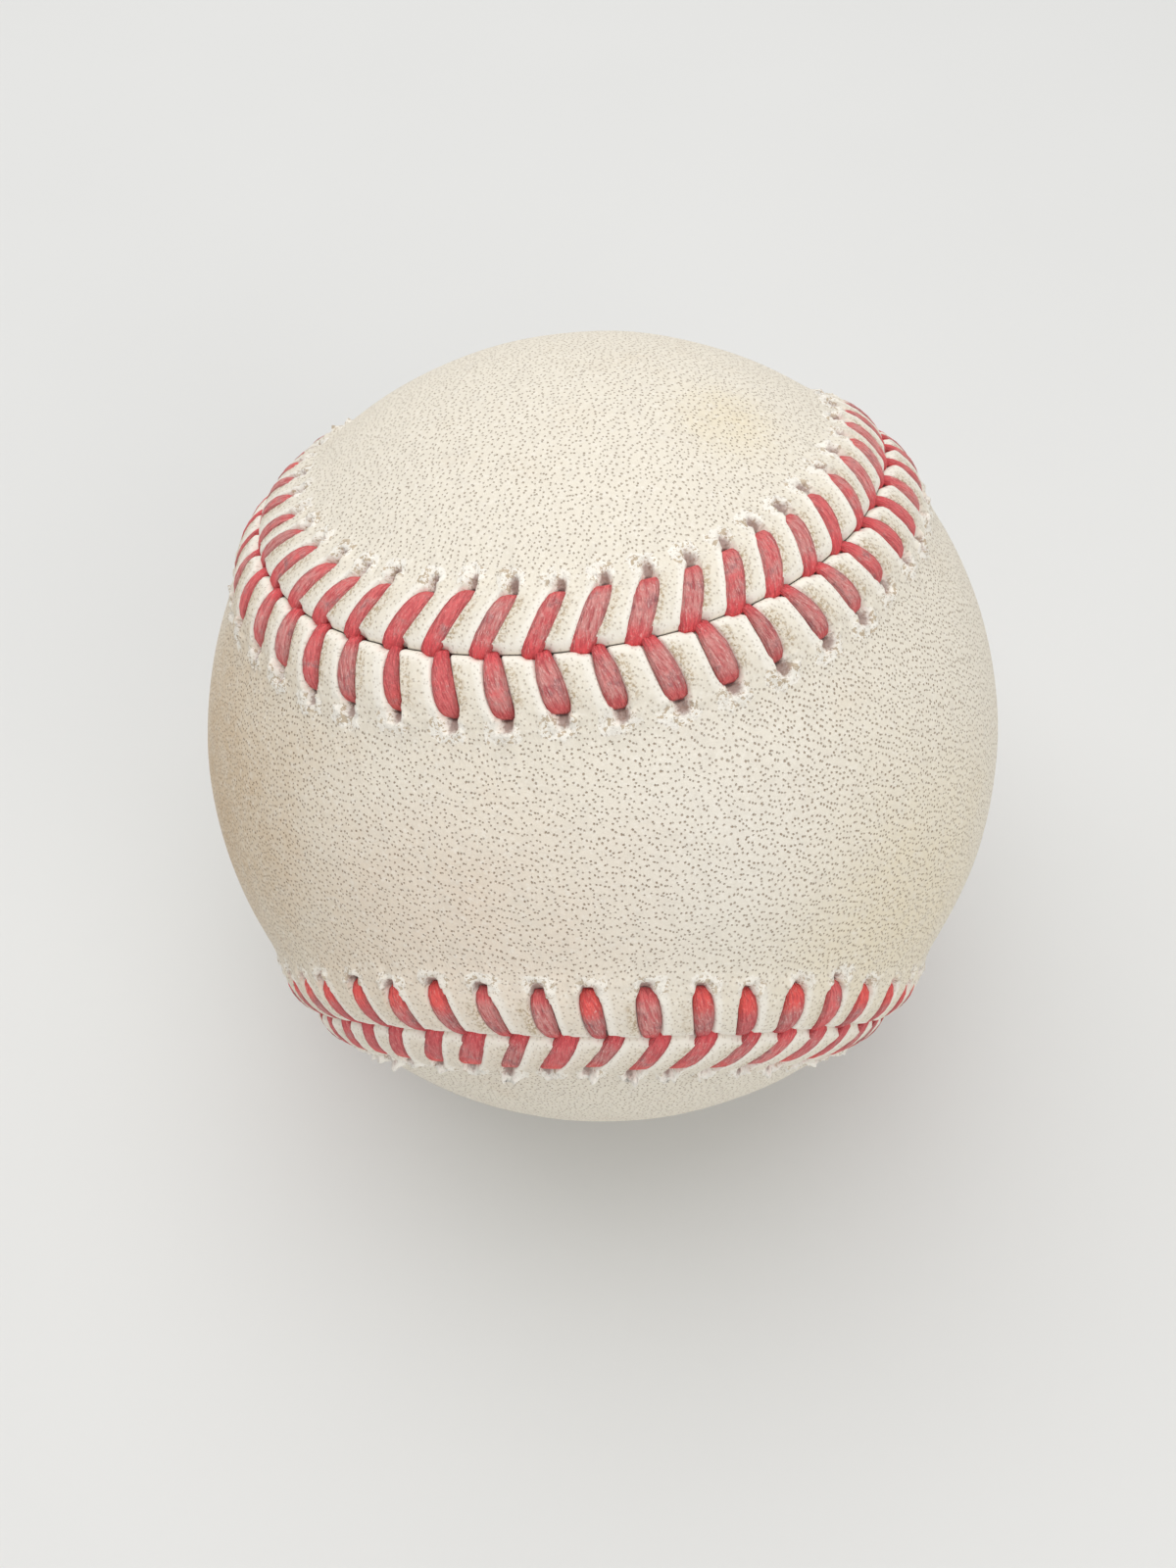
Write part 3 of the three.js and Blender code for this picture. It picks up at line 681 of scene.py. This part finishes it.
# one thread: up through a hole, over the leather, down the gap, and under to the next hole
strandSet = {
    # (from the seam, height) of the strand's middle line, with its width and thickness there
    "route": ((4.4, -1.12), (4.44, -0.5), (4.3, 0.04), (3.95, 0.44), (3.4, 0.72), (2.7, 0.86), (1.95, 0.88),
              (1.2, 0.78), (0.55, 0.6), (0.05, 0.36), (-0.16, -0.06), (-0.12, -1.12)),
    "width": (1.16, 1.28, 1.48, 1.62, 1.69, 1.72, 1.7, 1.62, 1.48, 1.3, 1.14, 0.9),
    "thickness": (0.46, 0.5, 0.56, 0.6, 0.62, 0.64, 0.64, 0.62, 0.58, 0.54, 0.5, 0.46),
    "gapShare": {1: 0.8, -1: 1.2},      # the front cover's strands taper to the gap
    "sides": 12, "squareness": 0.62, "girth": 4.4, "wobble": 0.05, "wobbleScale": 0.9,
    "plyGroove": 0.14, "plyWidth": 0.25, "plyTones": (0.6, 0.75)}


# the middle line of one strand, with its size, the way along the seam, and how far it is from hole to gap
def strandRings(stitch, side):
    own = {key: values[stitch] for key, values in stitches[side].items()}
    fromSeam, rise = np.array(strandSet["route"]).T
    share = 1 - fromSeam / stitchSet["inset"]
    across = own["hole"] + (own["gap"] - own["hole"]) * share
    inset = fromSeam * own["inset"] / stitchSet["inset"]
    along = stitch * pitch + across
    lift = own["lift"] * np.sin(math.pi * np.clip(share, 0, 1))
    points = spot(along, side * inset, ballSet["radius"] + rise + lift)
    width = np.array(strandSet["width"]) * own["width"]
    width = width * (1 + (strandSet["gapShare"][side] - 1) * smooth(0.5, 1, share))
    return {"point": points, "forward": seamFrame(along)[1], "share": share,
            "tone": np.full(len(share), own["tone"]), "wear": np.full(len(share), own["wear"]),
            "width": width, "thickness": np.array(strandSet["thickness"])}


def joinRings(parts):
    return {key: np.concatenate([part[key] for part in parts]) for key in parts[0]}


def needleRun(firstSide):
    return joinRings([strandRings(k, firstSide * (-1) ** k) for k in range(stitchSet["count"])])


def makeThreadPiece(material):
    first, second = needleRun(1), needleRun(-1)
    rings = joinRings([{key: values[::-1] for key, values in first.items()}, second])
    points = rings["point"]
    tangent = unit(np.gradient(points, axis=0))
    wide = unit(rings["forward"] - tangent * np.sum(rings["forward"] * tangent, -1, keepdims=True))
    thick = np.cross(tangent, wide)

    sides = strandSet["sides"]
    mesh, column, row = gridMesh("stitching", sides, len(points) - 1)
    angle = 2 * math.pi * column / sides
    power = strandSet["squareness"]
    flatWay = np.sign(np.cos(angle)) * np.abs(np.cos(angle)) ** power
    thickWay = np.sign(np.sin(angle)) * np.abs(np.sin(angle)) ** power
    plies = smooth(*strandSet["plyTones"], rings["tone"][row]) * hump(flatWay, 0, strandSet["plyWidth"])
    thickWay = thickWay * (1 - strandSet["plyGroove"] * plies)      # some show their two plies
    at = points[row] + wide[row] * (flatWay * rings["width"][row] / 2)[:, None]
    at = at + thick[row] * (thickWay * rings["thickness"][row] / 2)[:, None]
    at = at + wide[row] * (strandSet["wobble"] * roughened(at, strandSet["wobbleScale"]))[:, None]

    run = np.concatenate([[0], np.cumsum(np.linalg.norm(np.diff(points, axis=0), axis=1))])
    setLay(mesh, column, row, run, strandSet["girth"], sides)
    values = {"rise": np.linalg.norm(at, axis=1) - ballSet["radius"], "strandTone": rings["tone"][row],
              "wear": rings["wear"][row], "toGap": rings["share"][row], "fromMiddle": flatWay}
    for key in values:
        setAttribute(mesh, key, values[key])
    finishMesh(mesh, at)
    print("thread length", int(run[-1]), "mm")
    return addPiece(mesh, material, "thread", "stitching_thread")


leather, waxedThread = makeLeather(), makeThread()
makeCover("front_leather", 1, "front_leather_cover", leather)
makeCover("back_leather", -1, "back_leather_cover", leather)
print("covers made")
makeThreadPiece(waxedThread)
print("stitching made")

# inside: a cork and rubber centre, two rubber cups, a washer, two more cups, then four layers of yarn
centreSet = {"cork": 10.3, "black": (10.5, 14.45), "blackRim": 0.6, "red": (14.65, 17.05), "redRim": 0.1,
             "washerHeight": 0.4, "steps": 64, "arcSteps": 16, "ballDetail": 5, "weld": 1e-3,
             "sharpAngle": 0.9, "roundedEdge": 0.15}
corkSet = {"pale": tint(190, 142, 92), "brown": tint(138, 92, 52), "crumb": tint(62, 44, 36),
           "grains": 1.1, "jointDepth": 0.15, "unevenness": 0.006, "unevenScale": 0.9}
rubberSet = {"black_rubber": (tint(40, 39, 40), tint(58, 56, 56)),
             "red_rubber": (tint(150, 52, 42), tint(168, 72, 58))}
ballMatrix = Matrix(turn.tolist()).to_4x4() @ Matrix.Scale(0.001, 4)


def makeCork():
    material, start, place = startMaterial("cork_and_rubber")
    grains = {"Vector": place, "Scale": corkSet["grains"]}
    chance = start.add("ShaderNodeTexVoronoi", {}, grains, "Color")
    kind = start.add("ShaderNodeSeparateColor", {}, {"Color": chance}, "Red")
    joints = start.add("ShaderNodeTexVoronoi", {"feature": "DISTANCE_TO_EDGE"}, grains, "Distance")
    colour = start.blend(corkSet["pale"], corkSet["brown"], kind)
    colour = colour.under(corkSet["crumb"], kind.step(0.72, 0.76))
    height = joints.step(0.0, 0.12) * corkSet["jointDepth"]
    endMaterial(start, {"Base Color": colour, "Roughness": 0.8 + kind * 0.1, "Normal": height.bump()})
    return material


def makeRubber(name):
    material, start, place = startMaterial(name)
    fine, broad = place.noise(3.0, 4.0, 0.6), place.noise(0.25, 2.0)
    first, second = rubberSet[name]
    colour = start.blend(first, second, fine.step(0.45, 0.8) * 0.5 + broad.step(0.4, 0.7) * 0.4)
    height = fine * 0.05
    endMaterial(start, {"Base Color": colour, "Roughness": 0.62 + broad * 0.2, "Normal": height.bump()})
    return material


# turns a half profile of (out, up) points round the axis of the cups
def turnedPiece(name, stops, isLoop, material, slot, node):
    bm = bmesh.new()
    verts = [bm.verts.new((out, 0, up)) for out, up in stops]
    pairs = zip(verts, verts[1:] + verts[:1] if isLoop else verts[1:])
    edges = [bm.edges.new(pair) for pair in pairs]
    bmesh.ops.spin(bm, geom=verts + edges, cent=(0, 0, 0), axis=(0, 0, 1), angle=2 * math.pi,
                   steps=centreSet["steps"], use_merge=True)
    bmesh.ops.remove_doubles(bm, verts=bm.verts, dist=centreSet["weld"])
    bmesh.ops.recalc_face_normals(bm, faces=bm.faces)
    sharp = [edge for edge in bm.edges
             if len(edge.link_faces) == 2 and edge.calc_face_angle() > centreSet["sharpAngle"]]
    bmesh.ops.bevel(bm, geom=sharp, offset=centreSet["roundedEdge"], affect="EDGES", segments=2, profile=0.5,
                    material=-1)
    return finishCentre(bm, name, material, slot, node)


def finishCentre(bm, name, material, slot, node):
    for face in bm.faces:
        face.smooth = True
    bmesh.ops.transform(bm, matrix=ballMatrix, verts=bm.verts)
    mesh = bpy.data.meshes.new(name)
    bm.to_mesh(mesh)
    print(name, "faces", len(mesh.polygons), "open edges", openEdges(bm))
    bm.free()
    return addPiece(mesh, material, slot, node)


def cupStops(radii, rim, upward):
    inner, outer = radii
    steps = centreSet["arcSteps"]

    def arc(radius, order):
        low = math.asin(rim / radius)
        turns = [low + (math.pi / 2 - low) * k / steps for k in range(steps + 1)]
        return [(radius * math.cos(a), upward * radius * math.sin(a)) for a in turns[::order]]
    return arc(outer, -1) + arc(inner, 1)


def makeCentre():
    bm = bmesh.new()
    bmesh.ops.create_icosphere(bm, subdivisions=centreSet["ballDetail"], radius=centreSet["cork"])
    for vert in bm.verts:
        vert.co *= 1 - corkSet["unevenness"] * abs(noise.noise(vert.co * corkSet["unevenScale"]))
    finishCentre(bm, "cork_centre", makeCork(), "cork", "cork_core")
    rubbers = {name: makeRubber(name) for name in rubberSet}
    for colourName in ("black", "red"):
        slot = colourName + "_rubber"
        for half, upward in (("upper", 1), ("lower", -1)):
            stops = cupStops(centreSet[colourName], centreSet[colourName + "Rim"], upward)
            turnedPiece(half + "_" + colourName + "_cup", stops, False, rubbers[slot], slot,
                        half + "_" + slot + "_cup")
    inner, outer = centreSet["black"]
    high = centreSet["washerHeight"]
    stops = ((inner, -high), (outer, -high), (outer, high), (inner, high))
    turnedPiece("red_washer", stops, True, rubbers["red_rubber"], "red_rubber", "red_rubber_washer")


makeCentre()
print("centre made")

yarnSet = {"grey_wool": (tint(142, 138, 132), tint(104, 101, 98)),
           "white_wool": (tint(226, 219, 204), tint(196, 186, 168)),
           "cotton": (tint(234, 228, 212), tint(208, 200, 180))}
# each winding: its node, its slot, inner and outer radius, width and thickness of the yarn, and turns that show
windingSet = {"inner_grey_wool": ("first_grey_wool_winding", "grey_wool", 17.25, 30.9, 1.7, 1.0, 78),
              "white_wool": ("white_wool_winding", "white_wool", 31.1, 32.75, 1.4, 0.8, 90),
              "outer_grey_wool": ("second_grey_wool_winding", "grey_wool", 32.95, 34.7, 1.4, 0.8, 96),
              "finishing_cotton": ("finishing_cotton_winding", "cotton", 34.9, 35.25, 0.7, 0.2, 170)}
# how a yarn runs: points in a turn, sides, the tip and spin of a turn against the last, how often it goes
# under and over, its girth in widths, and how deep the ball under it lies in thicknesses
runSet = {"points": 44, "sides": 6, "tip": 0.1173, "spin": 0.0731, "weave": 3.7, "girth": 2.4, "ballDepth": 0.8}


def makeYarn(name):
    material, start, place = startMaterial(name)
    lay = start.add("ShaderNodeUVMap", {"uv_map": "lay"})
    plies = start.add("ShaderNodeTexWave", {"bands_direction": "DIAGONAL"}, {"Vector": lay, "Scale": 0.5}, "Fac")
    fuzz, broad = place.noise(4.0, 4.0, 0.7), place.noise(0.3, 2.0)
    first, second = yarnSet[name]
    # darker between the plies, where the bump dips: painted shade; the fuzz and broad patches are the yarn's own
    # tone
    colour = start.blend(first, second, fuzz.step(0.4, 0.7) * 0.5 + (1 - plies) * 0.3 + broad.step(0.4, 0.7) * 0.2)
    height = fuzz * 0.15 + plies * 0.12
    endMaterial(start, {"Base Color": colour, "Roughness": 0.85 + fuzz * 0.1, "Normal": height.bump()})
    return material


# one yarn wound round and round, half sunk in the turns below it
def makeWinding(name, yarns):
    node, slot, inner, outer, width, thickness, turns = windingSet[name]
    around = np.linspace(0, 2 * math.pi * turns, turns * runSet["points"] + 1)
    flat = np.stack([np.cos(around), np.sin(around), 0 * around], -1)
    tip, spin = around * runSet["tip"], around * runSet["spin"]
    y, z = flat[:, 1] * np.cos(tip), flat[:, 1] * np.sin(tip)
    path = np.stack([flat[:, 0] * np.cos(spin) - y * np.sin(spin),
                     flat[:, 0] * np.sin(spin) + y * np.cos(spin), z], -1)
    sunk = thickness * (0.5 + 0.25 * (1 + np.sin(around * runSet["weave"])))
    centres = path * (outer - sunk)[:, None]
    tangent = unit(np.gradient(centres, axis=0))
    sideways = unit(np.cross(tangent, path))
    sides = runSet["sides"]
    mesh, column, row = gridMesh(name, sides, len(centres) - 1)
    angle = 2 * math.pi * column / sides
    at = centres[row] + sideways[row] * (np.cos(angle) * width / 2)[:, None]
    at = at + path[row] * (np.sin(angle) * thickness / 2)[:, None]
    setLay(mesh, column, row, around * outer, width * runSet["girth"], sides)
    finishMesh(mesh, at)

    # the ball of yarn below it, and the hollow inside that
    bm = bmesh.new()
    bm.from_mesh(mesh)
    for radius, isInside in ((outer - thickness * runSet["ballDepth"], False), (inner, True)):
        ball = bmesh.ops.create_icosphere(bm, subdivisions=centreSet["ballDetail"], radius=radius / 1000)
        faces = list({face for vert in ball["verts"] for face in vert.link_faces})
        for face in faces:
            face.smooth = True
        if isInside:
            bmesh.ops.reverse_faces(bm, faces=faces)
    bm.to_mesh(mesh)
    bm.free()
    return addPiece(mesh, yarns[slot], slot, node)


yarns = {name: makeYarn(name) for name in yarnSet}
for windingName in windingSet:
    makeWinding(windingName, yarns)
print("windings made")

# floor and light: sizes in metres, the fade in mm from the ball; each lamp's place, size and power
studioSet = {"floor": tint(226, 226, 224), "floorShade": tint(204, 204, 202), "shading": 0.15, "floorSize": 6.0,
             "fade": (300, 1200), "world": 0.465,
             "lamps": (("overhead", (-0.1, 0.15, 0.7), 0.9, 4.0), ("fill", (0.35, -0.6, 0.5), 0.6, 1.9))}


# 1 for what the camera, a shiny face or glass sees, 0 for light that falls on the ball
def pictureRays(start):
    seen = start.add("ShaderNodeLightPath", out="Is Camera Ray")
    for ray in ("Is Glossy Ray", "Is Transmission Ray"):
        seen = seen.most(start.add("ShaderNodeLightPath", out=ray))
    return seen


# the floor fades into the backdrop far from the ball
def makeFloor():
    bm = bmesh.new()
    bmesh.ops.create_grid(bm, x_segments=1, y_segments=1, size=studioSet["floorSize"] / 2)
    bmesh.ops.translate(bm, verts=bm.verts, vec=(0, 0, -ballSet["radius"] / 1000))
    mesh = bpy.data.meshes.new("floor")
    bm.to_mesh(mesh)
    bm.free()
    floor = bpy.data.objects.new("floor", mesh)
    bpy.context.scene.collection.objects.link(floor)
    material, start, place = startMaterial("floor_paint")
    shade = place.noise(0.02, 2.0) * studioSet["shading"]
    colour = start.blend(studioSet["floor"], studioSet["floorShade"], shade)
    paint = start.add("ShaderNodeBsdfPrincipled", {}, {"Base Color": colour, "Roughness": 0.9})
    haze = start.add("ShaderNodeEmission", {}, {"Color": studioSet["floor"]})
    faded = place.vector("LENGTH", out="Value").step(*studioSet["fade"]) * pictureRays(start)
    surface = start.add("ShaderNodeMixShader", {}, {0: faded, 1: paint, 2: haze})
    start.add("ShaderNodeOutputMaterial", {}, {"Surface": surface})
    mesh.materials.append(material)


def makeWorld():
    world = bpy.data.worlds.new("studio")
    world.use_nodes = True
    world.node_tree.nodes.clear()
    start = Wire(world.node_tree)
    light = start.add("ShaderNodeBackground", {}, {"Color": (1, 1, 1, 1), "Strength": studioSet["world"]})
    backdrop = start.add("ShaderNodeBackground", {}, {"Color": studioSet["floor"], "Strength": 1.0})
    sky = start.add("ShaderNodeMixShader", {}, {0: pictureRays(start), 1: light, 2: backdrop})
    start.add("ShaderNodeOutputWorld", {}, {"Surface": sky})
    bpy.context.scene.world = world


def makeLamps():
    for name, place, size, power in studioSet["lamps"]:
        data = bpy.data.lights.new(name, "AREA")
        data.size = size
        data.energy = power
        lamp = bpy.data.objects.new(name, data)
        lamp.location = place
        lamp.rotation_euler = (-Vector(place)).to_track_quat("-Z", "Y").to_euler()
        bpy.context.scene.collection.objects.link(lamp)


makeFloor()
makeWorld()
makeLamps()
bpy.context.scene.view_settings.view_transform = "Standard"
print("studio made")
